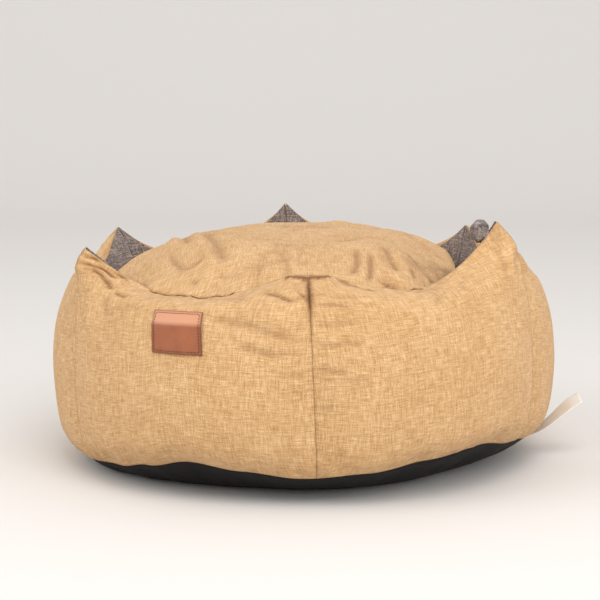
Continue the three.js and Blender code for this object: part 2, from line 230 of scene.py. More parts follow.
def base_edge(deg):
    """Height of the base seam and radius of the floor contact at an angle."""
    deg %= 360
    k = max(i for i, row in enumerate(BASE_EDGE) if row[0] <= deg)
    here, after = BASE_EDGE[k], BASE_EDGE[(k + 1) % len(BASE_EDGE)]
    span = (after[0] - here[0]) % 360
    ease = (1 - math.cos(math.pi * (deg - here[0]) / span)) / 2
    return mix(here[1], after[1], ease), mix(here[2], after[2], ease)


def underside(deg, r):
    seam_z, floor_r = base_edge(deg)
    return seam_z * clamp((r - floor_r) / (0.222 - floor_r)) ** 1.7


def seam_deg(k, z):
    peak = PEAKS[k % 6]
    deg = mix(SEAMS[k % 6]["base_deg"], peak["tip_deg"], clamp(z / peak["tip_z"]))
    return deg + 360 * (k // 6)


def panel_deg(k, share, z):
    return mix(seam_deg(k, z), seam_deg(k + 1, z), share)


def measures(k, share):
    """The section's sizes a share of the way along panel k."""
    first = share < 0.5
    end = k if first else (k + 1) % 6
    seam, peak, panel = SEAMS[end], PEAKS[end], PANELS[k]
    away = share * 2 if first else 2 - share * 2
    fall = peak["after"] if first else peak["before"]
    near = (1 - away) ** fall
    near_rim = min(1, (1 - away) / (1 - peak["level"])) ** fall
    sizes = {name: mix(panel[name], seam[name], near) for name in SEAM_COLUMNS[1:]}
    sizes["rim_r"] = mix(panel["rim_r"], peak["tip_r"], near_rim)
    sizes["rim_z"] = mix(panel["rim_z"], peak["tip_z"], near_rim)
    return sizes


def spaced(knots, count):
    """Evenly spaced points on a smooth curve through the knots."""
    dense = []
    for i in range(len(knots) - 1):
        p0, p1, p2, p3 = (knots[min(max(i + d, 0), len(knots) - 1)] for d in (-1, 0, 1, 2))
        v1, v2 = (p2 - p0) / 2, (p3 - p1) / 2
        for step in range(12):
            t = step / 12
            dense.append(
                (2 * p1 - 2 * p2 + v1 + v2) * t**3
                + (-3 * p1 + 3 * p2 - 2 * v1 - v2) * t**2
                + v1 * t
                + p1
            )
    dense.append(knots[-1])
    lengths = [0]
    for a, b in zip(dense, dense[1:]):
        lengths.append(lengths[-1] + (b - a).length)
    found, k = [], 0
    for step in range(count + 1):
        want = lengths[-1] * step / count
        while k < len(dense) - 2 and lengths[k + 1] < want:
            k += 1
        share = (want - lengths[k]) / max(lengths[k + 1] - lengths[k], 1e-9)
        found.append(dense[k].lerp(dense[k + 1], min(share, 1)))
    return found


def outer_curve(k, share, count):
    """The outer face from the base seam to the rim, as points (r, z)."""
    m = measures(k, share)
    seam_z = base_edge(panel_deg(k, share, 0))[0]
    start = Vector((BASE_SEAM_R, seam_z + 0.0004))
    belly = Vector((m["belly_r"], m["belly_z"]))
    brow = Vector((m["brow_r"], m["brow_z"]))
    rim = Vector((m["rim_r"], m["rim_z"]))
    chord = rim - brow
    crown = brow.lerp(rim, 0.5) + Vector((chord.y, -chord.x)).normalized() * 0.005
    low = Vector((mix(start.x, belly.x, 0.76), mix(start.y, belly.y, 0.3)))
    high = Vector((mix(belly.x, brow.x, 0.24), mix(belly.y, brow.y, 0.56)))
    return spaced([start, low, belly, high, brow, crown, rim], count)


def clamp(value, low=0.0, high=1.0):
    return min(max(value, low), high)


def folded(folds, x, y):
    """How far a table's folds stand out at x, y in millimetres, and how deep in a sunk one it is,
    which is painted as shade.

    Each fold is a line of points, half its width and how far it stands out.
    """
    out, fold_shade = 0.0, 0.0
    for line, half, stands in folds:
        reach = 3 * half
        xs, ys = [p[0] for p in line], [p[1] for p in line]
        if not (min(xs) - reach < x < max(xs) + reach and min(ys) - reach < y < max(ys) + reach):
            continue
        best, where = 1e9, 0
        for n, ((ax, ay), (bx, by)) in enumerate(zip(line, line[1:])):
            dx, dy = bx - ax, by - ay
            along = clamp(((x - ax) * dx + (y - ay) * dy) / (dx * dx + dy * dy))
            away = math.hypot(x - ax - dx * along, y - ay - dy * along)
            if away < best:
                best, where = away, (n + along) / (len(line) - 1)
        fade = clamp(5 * min(where, 1 - where) + 0.15)
        out += stands * fade * math.exp(-((best / half) ** 1.5))
        # Sunk folds also get painted shade, strongest along their middle line.
        if stands < 0:
            fold_shade = max(fold_shade, clamp(-stands / half) * fade * math.exp(-((1.6 * best / half) ** 2)))
    return out, fold_shade


def crumpled(x, y, size):
    """Depth of the small irregular creases of soft cloth, 0 to 1."""
    place = Vector((x, y, size)) / size
    place += noise.noise_vector(place * 0.7) * 0.6
    lines = clamp(1 - abs(noise.noise(place)) / 0.16)
    return lines * clamp(noise.noise(place * 0.6 + Vector((7, 3, 1))) * 2.4 + 0.25)


def inner_curve(k, share, shares):
    """The inner face from the rim to the foot, as points (r, z)."""
    m = measures(k, share)
    foot_z = underside(panel_deg(k, share, 0), WELL_R_FOOT) + BASE_THICK
    points = []
    for down in shares:
        z = mix(m["rim_z"], foot_z, down)
        well = mix(WELL_R_FOOT, WELL_R_TOP, clamp(z / WELL_TOP_Z))
        flare = max(0, 1 - down / LIP_DEPTH_SHARE) ** 2
        points.append(Vector((mix(well, m["rim_r"], flare), z)))
    return points


def polar(deg, r, z):
    return Vector((r * math.sin(math.radians(deg)), -r * math.cos(math.radians(deg)), z))


PANEL_STEPS = 48
OUT_ROWS = 44
IN_SHARES = (0.012, 0.03, 0.06, 0.11, 0.19, 0.32, 0.5, 0.75, 1)
UNDER_RADII = (0.188, 0.200, 0.211, 0.222)
COLUMNS, ROWS = 6 * PANEL_STEPS, OUT_ROWS + len(IN_SHARES) + len(UNDER_RADII) + 1

ring_mesh = bmesh.new()
bmesh.ops.create_grid(ring_mesh, x_segments=COLUMNS, y_segments=ROWS, size=1)
run_layer = ring_mesh.verts.layers.float.new("run")
edge_layer = ring_mesh.verts.layers.float.new("edge")
hold_layer = ring_mesh.verts.layers.float.new("hold")
cloth_map = ring_mesh.loops.layers.uv.new("cloth")
sections = []
for i in range(COLUMNS):
    k, share = i // PANEL_STEPS, i % PANEL_STEPS / PANEL_STEPS
    deg = panel_deg(k, share, 0)
    outline = outer_curve(k, share, OUT_ROWS) + inner_curve(k, share, IN_SHARES)
    outline += [Vector((r, underside(deg, r) + BASE_THICK)) for r in UNDER_RADII]
    outline.append(outline[0])
    runs = [0.0]
    for a, b in zip(outline, outline[1:]):
        runs.append(runs[-1] + (b - a).length)
    sections.append((outline, runs))
for vert in ring_mesh.verts:
    i, j = round((vert.co.x + 1) / 2 * COLUMNS), round((vert.co.y + 1) / 2 * ROWS)
    from_seam = min(i % PANEL_STEPS, -i % PANEL_STEPS)
    outline, runs = sections[i % COLUMNS]
    for loop in vert.link_loops:
        k = int((loop.face.calc_center_median().x + 1) / 2 * 6)
        loop.face.material_index = k
        across = (i - (k + 0.5) * PANEL_STEPS) / PANEL_STEPS * math.radians(60) * outline[j].x
        loop[cloth_map].uv = (across + 0.61 * k, runs[j])
    vert[run_layer] = runs[j] * 1000
    vert[edge_layer] = min(runs[j], runs[OUT_ROWS] - runs[j]) * 1000
    inner = j == 0 or j >= OUT_ROWS
    vert[hold_layer] = 1.0 if inner else max(0, 1 - from_seam / 1.6)
places = {}
for vert in ring_mesh.verts:
    i, j = round((vert.co.x + 1) / 2 * COLUMNS), round((vert.co.y + 1) / 2 * ROWS)
    k, share = divmod(i % COLUMNS, PANEL_STEPS)
    point = sections[i % COLUMNS][0][j]
    places[vert] = polar(panel_deg(k, share / PANEL_STEPS, point.y), point.x, point.y)
for vert, place in places.items():
    vert.co = place
bmesh.ops.remove_doubles(ring_mesh, verts=ring_mesh.verts, dist=0.00001)
bmesh.ops.recalc_face_normals(ring_mesh, faces=ring_mesh.faces)


def placed(name, mesh):
    """Turns a finished mesh into an object in the scene."""
    data = bpy.data.meshes.new(name)
    mesh.to_mesh(data)
    mesh.free()
    made = bpy.data.objects.new(name, data)
    scene.collection.objects.link(made)
    return made


def swell(mesh, held, pressure, spare, frames, cap):
    """Blows a mesh up as cloth with some spare size, and caps how far its points go."""
    data = bpy.data.meshes.new("swelling")
    mesh.to_mesh(data)
    form = bpy.data.objects.new("swelling", data)
    scene.collection.objects.link(form)
    group = form.vertex_groups.new(name="held")
    for index, weight in enumerate(held):
        if weight:
            group.add([index], weight, "REPLACE")
    cloth = form.modifiers.new("cloth", "CLOTH")
    settings = cloth.settings
    settings.quality = 5
    settings.mass = 0.25
    settings.tension_stiffness = 20
    settings.compression_stiffness = 20
    settings.shear_stiffness = 8
    settings.bending_stiffness = 0.1
    settings.use_pressure = True
    settings.uniform_pressure_force = pressure
    settings.shrink_min = -spare
    settings.vertex_group_mass = "held"
    settings.effector_weights.gravity = 0
    cloth.point_cache.frame_end = frames
    for number in range(1, frames + 1):
        scene.frame_set(number)
    settled = form.evaluated_get(bpy.context.evaluated_depsgraph_get()).data
    for vert, now in zip(mesh.verts, settled.vertices):
        moved = now.co - vert.co
        if moved.length > cap:
            moved *= cap / moved.length
        vert.co += moved
    bpy.data.objects.remove(form)
    bpy.data.meshes.remove(data)


swell(ring_mesh, [v[hold_layer] for v in ring_mesh.verts], 1.6, 0.02, 16, 0.0012)
bmesh.ops.subdivide_edges(ring_mesh, edges=ring_mesh.edges, cuts=1, use_grid_fill=True)

# Folds as lines of (angle, millimetres up the cloth from the base seam), half width, and
# how far they stand out. They are the creases that run from the front seam's bar over the
# rim, those left of the seam, the pleats of the fallen left corner, the dimple in the rim,
# and the stepped tuck in the base seam.
WALL_FOLDS = [
    ([(8.5, 203), (11.5, 200), (15.4, 193), (19, 188)], 4, -3),
    ([(28, 186), (33, 188), (37.4, 184)], 4, -1.5),
    ([(-10, 183), (-5.8, 176), (-2.2, 168)], 3, -2.6),
    ([(-1.8, 182), (1, 168)], 2.5, -2),
    ([(-19, 201), (-14, 198)], 8, 2.5),
    ([(-21, 151), (-12, 144), (-0.5, 132)], 6, -2.4),
    ([(-22, 166), (-12, 160), (-4, 150)], 6, 1.8),
    ([(-15, 126), (-4.3, 118)], 5, -1.8),
    ([(-30, 185), (-20, 181), (-13, 170)], 7, -1.8),
    ([(-63, 206), (-58, 206), (-52, 202)], 2.6, -4.2),
    ([(-63, 198), (-58, 199), (-54, 197)], 2.6, -3.4),
    ([(-60, 194), (-56, 190), (-52, 181)], 3, -4),
    ([(-50.7, 179), (-46, 174)], 3, -2.6),
    ([(-60, 186), (-57, 165), (-55, 135)], 7, 2),
    ([(-52, 172), (-49, 150)], 6, -1.8),
    ([(23.5, 197), (27, 194.5), (30, 194)], 4.2, -5),
    ([(-11.8, 24), (-12.6, 4)], 3.5, 2.6),
    ([(66, 214), (65, 190), (63, 168)], 6, -1.6),
    ([(36, 172), (31, 160)], 5, -1.4),
]
# Short gathers where the cloth is drawn into the front seam, mostly right of it.
GATHER_HALF = 3.6
for n in range(10):
    up = 174 - 11 * n + 4 * math.sin(2.7 * n)
    long = 7 + 4.5 * math.sin(1.9 * n + 1)
    depth = -0.5 - 0.45 * (1 + math.sin(2.3 * n))
    line = [(2.4, up), (2.4 + long, up - 3 * math.sin(1.3 * n))]
    WALL_FOLDS.append((line, GATHER_HALF, depth))
    if n % 2 == 0:
        line = [(0.4, up - 5), (0.4 - long * 0.7, up - 1 + 4 * math.sin(n))]
        WALL_FOLDS.append((line, GATHER_HALF, -0.7))
ROUND_MM = math.radians(1) * 222


def in_millimetres(folds):
    """A table of folds with the angles of its points turned into millimetres round the bed."""
    return [([(d * ROUND_MM, up) for d, up in line], half, out) for line, half, out in folds]


WALL_FOLDS = in_millimetres(WALL_FOLDS)
painted_shade_and_wear_layer = ring_mesh.verts.layers.float.new("crease")
ring_mesh.normal_update()
moves = {}
for vert in ring_mesh.verts:
    edge = vert[edge_layer]
    if edge <= 0:
        continue
    up = vert[run_layer]
    deg = math.degrees(math.atan2(vert.co.x, -vert.co.y))
    x = deg * ROUND_MM
    out, fold_shade = folded(WALL_FOLDS, x, up)
    # The front seam is pulled in, most of all below its bar; painted shade darkens along the seam
    # and along the rim beside its top.
    seam = (deg - seam_deg(0, vert.co.z)) * ROUND_MM
    tight = clamp((up - 135) / 35)
    wander = 1.5 * tight * noise.noise(Vector((0, up / 6, 5)))
    pull = mix(0.6, 5.5, tight) * clamp((206 - up) / 5)
    out -= pull * math.exp(-abs(seam / mix(2.6, 6, tight)) ** 1.3)
    fold_shade = max(fold_shade, mix(0.06, 1, tight) * math.exp(-(((seam + wander) / mix(1.2, 3, tight)) ** 2)))
    if abs(deg - 0.8) < 6.3 and up > 150:
        fold_shade = max(fold_shade, clamp((6 + 3 * noise.noise(Vector((deg, 0, 2))) - edge) / 3))
    # Loose filling, small creases and the tucks of the base seam; the small creases also get a
    # faint painted shade.
    worn = mix(0.25, 1, clamp((up - 110) / 60))
    small = crumpled(x, up, 34) * worn
    out += 2.2 * noise.noise(Vector((x, up * 0.8, 9)) / 75) - 1.3 * small
    tuck = noise.noise(Vector((x / 9, up / 60, 3)))
    out += 1.8 * tuck * math.exp(-(((up - 9) / 13) ** 2))
    vert[painted_shade_and_wear_layer] = max(fold_shade, 0.22 * small)
    moves[vert] = out * clamp(edge / 7) / 1000
for vert, out in moves.items():
    vert.co += vert.normal * out

wall_trees = []
for k in range(6):
    panel = ring_mesh.copy()
    others = [f for f in panel.faces if f.material_index != k]
    bmesh.ops.delete(panel, geom=others, context="FACES")
    ends = [e for e in panel.edges if e.is_boundary]
    middle = polar(panel_deg(k, 0.5, 0.1), 0.22, 0.1)
    for vert in {v for e in ends for v in e.verts}:
        side = Vector((-vert.co.y, vert.co.x, 0)).normalized()
        vert.co += side * math.copysign(0.0001, (middle - vert.co).dot(side))
    closed = bmesh.ops.holes_fill(panel, edges=ends, sides=0)["faces"]
    bmesh.ops.triangulate(panel, faces=closed)
    for face in panel.faces:
        face.material_index = 0
        face.smooth = True
    bmesh.ops.recalc_face_normals(panel, faces=panel.faces)
    wall_trees.append(BVHTree.FromBMesh(panel))
    wall = placed(f"wall_cloth_{k + 1}", panel)
    wall.data.materials.append(tan_linen)
    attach(wall, "root")
    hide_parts(f"wall_{k + 1}")
ring_mesh.free()

# ---- The lining ----
# Grey flecked cloth on the inner face of each panel, sewn to the tan cloth just inside the
# rim. It shows at the peaks, and at the back one it stands just above the tan cloth.
LINING_STEPS, LINING_ROWS = 72, 56
LINING_FOLDS = in_millimetres([
    ([(-66, 222), (-64, 196), (-61, 172)], 5, -3),
    ([(-100, 222), (-104, 200)], 7, 3),
    ([(-58, 214), (-50, 196), (-44, 182)], 5, 2.5),
    ([(52, 220), (47, 205), (42, 190)], 6, -3),
    ([(66, 226), (70, 205)], 7, 3),
    ([(174, 215), (178, 190)], 7, 3),
    ([(190, 225), (192, 196)], 6, -3),
])
for k in range(6):
    lining_mesh = bmesh.new()
    bmesh.ops.create_grid(lining_mesh, x_segments=LINING_STEPS, y_segments=LINING_ROWS, size=1)
    cloth_map = lining_mesh.loops.layers.uv.new("cloth")
    painted_shade_and_wear_layer = lining_mesh.verts.layers.float.new("crease")
    curves = {}
    for vert in lining_mesh.verts:
        i = round((vert.co.x + 1) / 2 * LINING_STEPS)
        j = round((vert.co.y + 1) / 2 * LINING_ROWS)
        share = mix(0.002, 0.998, i / LINING_STEPS)
        if i not in curves:
            end, away = (k, share) if share < 0.5 else (k + 1, 1 - share)
            up = clamp(1 - away * 5) if PEAKS[end % 6]["tip_z"] > 0.21 else 0
            top = mix(0.03, -0.011 if end % 6 == 3 else 0, up)
            rows = [mix(top, 1, (n / LINING_ROWS) ** 1.5) for n in range(LINING_ROWS + 1)]
            curves[i] = inner_curve(k, share, rows)
        point = curves[i][j]
        above, below = curves[i][max(j - 1, 0)], curves[i][min(j + 1, LINING_ROWS)]
        square = Vector((below.y - above.y, above.x - below.x)).normalized()
        deg = panel_deg(k, share, point.y)
        around = (deg + 180) % 360 - 180
        out, fold_shade = folded(LINING_FOLDS, around * ROUND_MM, point.y * 1000)
        out = max(out, -0.5) * clamp(j / 3)
        point = point + square * (0.0008 + out / 1000)
        vert.co = polar(deg, point.x, point.y)
        # Painted shade in the sunk folds of the lining.
        vert[painted_shade_and_wear_layer] = clamp(fold_shade) * 0.8
        for loop in vert.link_loops:
            away = deg - panel_deg(k, 0.5, 0.15)
            loop[cloth_map].uv = (math.radians(away) * 0.18 + 0.43 * k, point.y)
    for face in lining_mesh.faces:
        face.smooth = True
    lining_mesh.normal_update()
    inwards = lining_mesh.faces[:][0]
    if inwards.normal.dot(inwards.calc_center_median() * Vector((1, 1, 0))) > 0:
        bmesh.ops.reverse_faces(lining_mesh, faces=lining_mesh.faces)
    lining = placed(f"lining_cloth_{k + 1}", lining_mesh)
    thick = lining.modifiers.new("thick", "SOLIDIFY")
    thick.thickness = 0.0012
    thick.offset = 1
    lining.data.materials.append(grey_linen)
    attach(lining, "root")
    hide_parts(f"lining_{k + 1}")

# ---- The rolled corner ----
# At the right front peak the corner of the lining is rolled over into a small round knob
# of the same grey cloth, with the seam's edge tucked in under it.
roll_mesh = bmesh.new()
bmesh.ops.create_uvsphere(roll_mesh, u_segments=64, v_segments=40, radius=1)
cloth_map = roll_mesh.loops.layers.uv.new("cloth")
painted_shade_and_wear_layer = roll_mesh.verts.layers.float.new("crease")
ROLL_DEG, ROLL_R, ROLL_Z = 58.2, 0.1935, 0.2345
ROLL_HALF_WIDTH, ROLL_HALF_DEPTH, ROLL_HALF_HEIGHT = 0.0112, 0.0078, 0.0108
roll_out = polar(ROLL_DEG, 1, 0)
roll_side = polar(ROLL_DEG + 90, 1, 0)
for vert in roll_mesh.verts:
    x, y, z = vert.co
    spin = math.atan2(z, y)
    for loop in vert.link_loops:
        loop[cloth_map].uv = (spin * 0.011, x * 0.011)
    wound = math.exp(-(((spin - 0.5 + 0.5 * x) / 0.16) ** 2))
    wound += math.exp(-(((spin + 2.2 + 0.4 * x) / 0.2) ** 2))
    lumps = 0.1 * noise.noise(Vector((x, y, z)) * 1.7) + 0.03 * noise.noise(Vector((x, y, z)) * 5)
    size = 1 + lumps - 0.13 * wound * (1 - x * x)
    # Painted shade: darker in the wound grooves and on the knob's underside.
    vert[painted_shade_and_wear_layer] = clamp(0.8 * wound * (1 - x * x) + 0.7 * clamp(-z - 0.55) * 2)
    squarer = 1 / max((abs(x) ** 2.6 + (y * y + z * z) ** 1.3) ** (1 / 2.6), 1e-6)
    place = Vector((x, y, z)) * size * mix(1, squarer, 0.7)
    vert.co = polar(ROLL_DEG, ROLL_R, ROLL_Z) + roll_side * place.x * ROLL_HALF_WIDTH
    vert.co += roll_out * place.y * ROLL_HALF_DEPTH + Vector((0, 0, place.z * ROLL_HALF_HEIGHT))
for face in roll_mesh.faces:
    face.smooth = True
bmesh.ops.recalc_face_normals(roll_mesh, faces=roll_mesh.faces)
roll = placed("rolled_corner", roll_mesh)
roll.data.materials.append(grey_linen)
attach(roll, "root")

# ---- The cushion ----
# One round tan cushion, stuffed so full that it domes above the rim. It laps onto the low
# rim in front and stops short of the lining at the right. It is one disc of cloth drawn
# down at its sides, swelled by cloth simulation and creased where the real one is.
CUSHION_GRID = 72
CUSHION_TOP_SHARE = 60 / CUSHION_GRID
CUSHION_FLAT_R = 0.235
DRAWN_DEG, DRAWN_R, DRAWN_Z = 82, 0.154, 0.178
LAP_WIDTH, LAP_GAP = 0.006, 0.0007
CUSHION_ROOM_R, LINING_GAP = 0.185, 0.0034
# Shares of the way from the middle to the edge, and the height there.
DOME = [(0, 0.2235), (0.22, 0.2235), (0.38, 0.2225), (0.52, 0.2195), (0.64, 0.2155), (0.75, 0.2095),
        (0.85, 0.202), (0.93, 0.194), (1, 0.184)]
# Lines of (x, y), half width and height, in millimetres.
CUSHION_FOLDS = [
    ([(-108, 12), (-104, -30), (-92, -90), (-85, -138)], 9, 5),
    ([(-98, 20), (-92, -30), (-80, -90), (-74, -125)], 8, -4),
    ([(-131, -50), (-122, -85), (-113, -110), (-100, -108), (-95, -100)], 5, -3),
    ([(-132, 20), (-128, -20), (-124, -50)], 6, 3.5),
    ([(-122, 40), (-118, 0), (-112, -40)], 5, -3),
    ([(-28, -99), (-16, -130), (-16, -158)], 5, -2.2),
    ([(-35, -88), (-5, -100)], 8, 2),
    ([(-64, -156), (-50, -158)], 8, 3),
    ([(48, -96), (49, -129), (44, -152)], 5, -3.6),
    ([(62, -104), (61, -141), (58, -160)], 4.5, -3.6),
    ([(55, -100), (55, -135), (52, -156)], 5, 2),
    ([(75, -66), (80, -106), (88, -130)], 5, -3.4),
    ([(84, -60), (92, -100), (98, -128)], 6, 2),
    ([(97, -56), (107, -88), (116, -108), (122, -124)], 5, -3.6),
    ([(100, -112), (102, -140)], 4, -3),
    ([(28, -66), (40, -60), (52, -44)], 6, -3),
    ([(22, -40), (34, -30)], 8, -2.5),
    ([(58, -30), (72, -22), (90, -24)], 6, -3),
    ([(-60, -60), (-30, -66), (10, -64)], 10, -2),
    ([(-80, -142), (-62, -150)], 5, -2),
    ([(-101, -140), (-99, -150)], 4, -2.5),
    ([(78, -152), (70, -158)], 6, -6),
    ([(20, 60), (60, 90), (90, 100)], 8, 3),
    ([(-70, 60), (-30, 100), (-10, 130)], 7, -3),
    ([(-120, 60), (-90, 90)], 7, -3),
    ([(110, 30), (140, 20)], 6, -3),
]
rims = []
for k in range(6):
    for n in range(24):
        m = measures(k, n / 24)
        rims.append((panel_deg(k, n / 24, m["rim_z"]) % 360, m["rim_r"], m["rim_z"]))
rims.sort()


def rim_at(deg):
    """Radius and height of the rim at an angle."""
    deg %= 360
    k = sum(1 for row in rims if row[0] <= deg)
    (d0, r0, z0), (d1, r1, z1) = rims[k - 1], rims[k % len(rims)]
    share = ((deg - d0) % 360) / ((d1 - d0) % 360)
    return mix(r0, r1, share), mix(z0, z1, share)


def room_at(deg, z):
    """How far out the cushion may reach inside the lining."""
    rim_r, rim_z = rim_at(deg)
    flare = max(0, 1 - (rim_z - z) / rim_z / LIP_DEPTH_SHARE) ** 2
    well = mix(WELL_R_FOOT, WELL_R_TOP, clamp(z / WELL_TOP_Z))
    return min(mix(well, rim_r, flare) - LINING_GAP, CUSHION_ROOM_R)


def wall_top(deg, r):
    """Height of the wall's upper face at a place on it."""
    place = polar(deg, r, 0.3)
    hits = [tree.ray_cast(place, Vector((0, 0, -1)))[0] for tree in wall_trees]
    return max((hit.z for hit in hits if hit), default=0.18)


def drawn_in(deg):
    """How much the cushion's right side stops short of the lining."""
    return math.exp(-((((deg + 180) % 360 - 180 - DRAWN_DEG) / 34) ** 4))


def dome_z(share):
    """Height of the cushion's top a share of the way to its edge."""
    for (s0, z0), (s1, z1) in zip(DOME, DOME[1:]):
        if share <= s1:
            return mix(z0, z1, (share - s0) / (s1 - s0))
    return DOME[-1][1]


cushion_mesh = bmesh.new()
bmesh.ops.create_grid(cushion_mesh, x_segments=CUSHION_GRID, y_segments=CUSHION_GRID, size=1)
cloth_map = cushion_mesh.loops.layers.uv.new("cloth")
SHOULDER = 0.88
for vert in cushion_mesh.verts:
    # Each square of the grid becomes a ring of the disc.
    long = max(abs(vert.co.x), abs(vert.co.y))
    x, y = (vert.co.x / long, vert.co.y / long) if long > 0.001 else (0, -1)
    way = Vector((x * math.sqrt(1 - y * y / 2), y * math.sqrt(1 - x * x / 2), 0))
    for loop in vert.link_loops:
        loop[cloth_map].uv = (way * long * CUSHION_FLAT_R).xy + Vector((5, 5))
    deg = math.degrees(math.atan2(way.x, -way.y))
    rim_r, rim_z = rim_at(deg)
    low = clamp((0.193 - rim_z) / 0.006) * clamp((deg + 54) / 9) * clamp((46 - deg) / 9)
    edge_z = min(rim_z - 0.002, 0.183)
    edge_r = mix(room_at(deg, edge_z), rim_r + LAP_WIDTH, low)
    if low:
        edge_z = mix(edge_z, wall_top(deg, rim_r + LAP_WIDTH) + LAP_GAP, low)
    drawn = drawn_in(deg)
    edge_r = mix(edge_r, DRAWN_R, drawn)
    edge_z = mix(edge_z, DRAWN_Z, drawn)
    share = long / CUSHION_TOP_SHARE
    inner_r = min(SHOULDER * 0.1771, edge_r - 0.014)
    if share <= SHOULDER:
        r = share / SHOULDER * inner_r
        z = dome_z(share) - 0.006 * drawn * clamp((share - 0.5) / 0.38)
    elif share <= 1:
        over = (share - SHOULDER) / (1 - SHOULDER)
        shoulder_z = dome_z(SHOULDER) - 0.006 * drawn
        r = mix(inner_r, edge_r, over ** mix(0.9, 0.6, drawn))
        z = mix(shoulder_z, edge_z, over ** mix(1.15, 1.5, drawn))
    else:
        down = (long - CUSHION_TOP_SHARE) / (1 - CUSHION_TOP_SHARE)
        z = mix(edge_z, 0.016, down ** mix(1, 2.2, low))
        r = room_at(deg, z) - 0.006 * down**4
        if drawn > 0.02:
            r = min(r, mix(edge_r, WELL_R_FOOT - 0.008, drawn * down))
    vert.co = way * r + Vector((-0.005 * max(0, 1 - share), 0, z))
rim_edges = [e for e in cushion_mesh.edges if e.is_boundary]
foot = bmesh.ops.extrude_edge_only(cushion_mesh, edges=rim_edges)["geom"]
for vert in (v for v in foot if isinstance(v, bmesh.types.BMVert)):
    deg = math.degrees(math.atan2(vert.co.x, -vert.co.y))
    vert.co = polar(deg, 0.150, underside(deg, 0.150) + 0.003)
rim_edges = [e for e in cushion_mesh.edges if e.is_boundary]
middle = bmesh.ops.extrude_edge_only(cushion_mesh, edges=rim_edges)["geom"]
middle = [v for v in middle if isinstance(v, bmesh.types.BMVert)]
bmesh.ops.pointmerge(cushion_mesh, verts=middle, merge_co=(0, 0, 0.003))
bmesh.ops.recalc_face_normals(cushion_mesh, faces=cushion_mesh.faces)
held = [clamp(1 - (v.co.z - 0.178) / 0.02) for v in cushion_mesh.verts]
swell(cushion_mesh, held, 0.8, 0.02, 16, 0.0015)
top = [e for e in cushion_mesh.edges if min(v.co.z for v in e.verts) > 0.02]
bmesh.ops.subdivide_edges(cushion_mesh, edges=top, cuts=1, use_grid_fill=True)
painted_shade_and_wear_layer = cushion_mesh.verts.layers.float.new("crease")
for vert in cushion_mesh.verts:
    if vert.co.z > 0.17:
        held = clamp((0.190 - vert.co.xy.length) / 0.014)
        x, y = vert.co.x * 1000, vert.co.y * 1000
        out, fold_shade = folded(CUSHION_FOLDS, x, y)
        small = crumpled(x, y, 40)
        out += 2.5 * noise.noise(Vector((x, y, 30)) / 60) - 1.8 * small
        dimple = math.exp(-(((x - 79) / 7) ** 2) - ((y + 166) / 9) ** 2)
        vert.co.z += (out * held - 2.5 * dimple) / 1000
        # Painted shade: a dark line where the front seam's bar meets the cushion, and in the
        # dimple, sunk folds and small creases.
        bar_shade = clamp((vert.co.xy.length - 0.178) / 0.006)
        bar_shade *= clamp((7 - abs(math.degrees(vert.co.x / 0.19))) / 2)
        vert[painted_shade_and_wear_layer] = max(fold_shade * 0.75, 0.25 * small, bar_shade, 0.9 * dimple)
    else:
        # The lower sides, hidden down in the well, are painted in shade.
        vert[painted_shade_and_wear_layer] = 0.6
for face in cushion_mesh.faces:
    face.smooth = True
cushion = placed("cushion_cloth", cushion_mesh)
cushion.data.materials.append(tan_linen)
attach(cushion, "root")
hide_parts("cushion")

# ---- The base cloth ----
# Dark non-slip cloth, one round sheet: its middle lies flat on the floor and its edge is
# turned up and sewn to the wall.
base_cloth, shader = material("base_cloth", 0.75)
shader.inputs["Specular IOR Level"].default_value = 0.2
place = Link.result("ShaderNodeTexCoord", output="Object")
fibre = Link.result("ShaderNodeTexNoise", {}, Vector=place, Scale=900.0, Detail=3.0)
wear = Link.result("ShaderNodeTexNoise", {}, Vector=place, Scale=26.0, Detail=3.0)
specks = Link.result("ShaderNodeTexVoronoi", {}, Vector=place, Scale=260.0)
shade = blended(wear, (0.003, 0.0025, 0.0025), (0.016, 0.014, 0.014))
shade = blended(fibre * 0.3, shade, (0.02, 0.018, 0.018))
lint = Link.result("ShaderNodeMath", {"operation": "LESS_THAN"}, _0=specks, _1=0.09) * 0.5
blended(lint, shade, (0.2, 0.17, 0.14)).into(shader, "Base Color")
relief = Link.result("ShaderNodeBump", {}, Strength=0.4, Distance=0.0005, Height=fibre)
relief.into(shader, "Normal")
base_mesh = bmesh.new()
radii = [0, 0.04, 0.08, 0.11, 0.125, 0.135] + [0.14 + 0.0041 * n for n in range(21)]
line = [base_mesh.verts.new((0, -r, 0)) for r in radii]
edges = [base_mesh.edges.new(pair) for pair in zip(line, line[1:])]
bmesh.ops.spin(
    base_mesh,
    geom=line + edges,
    cent=(0, 0, 0),
    axis=(0, 0, 1),
    angle=math.tau,
    steps=240,
    use_merge=True,
)
bmesh.ops.remove_doubles(base_mesh, verts=base_mesh.verts, dist=0.00001)
for vert in base_mesh.verts:
    deg = math.degrees(math.atan2(vert.co.x, -vert.co.y))
    r = vert.co.xy.length
    vert.co.z = underside(deg, r)
    ripple = noise.noise(Vector((deg / 3.2, r * 40, 1))) * 0.0015
    ripple += noise.noise(Vector((deg / 9, 5, 1))) * 0.002
    ripple *= clamp((vert.co.z - 0.004) / 0.01) * clamp((0.2225 - r) / 0.012)
    vert.co += polar(deg, 1, 0) * ripple
for face in base_mesh.faces:
    face.smooth = True
bmesh.ops.recalc_face_normals(base_mesh, faces=base_mesh.faces)
if base_mesh.faces[:][0].normal.z > 0:
    bmesh.ops.reverse_faces(base_mesh, faces=base_mesh.faces)
base_sheet = placed("base_sheet", base_mesh)
thick = base_sheet.modifiers.new("thick", "SOLIDIFY")
thick.thickness = 0.0018
thick.offset = -1
base_sheet.data.materials.append(base_cloth)
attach(base_sheet, "root")
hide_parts("base_panel")
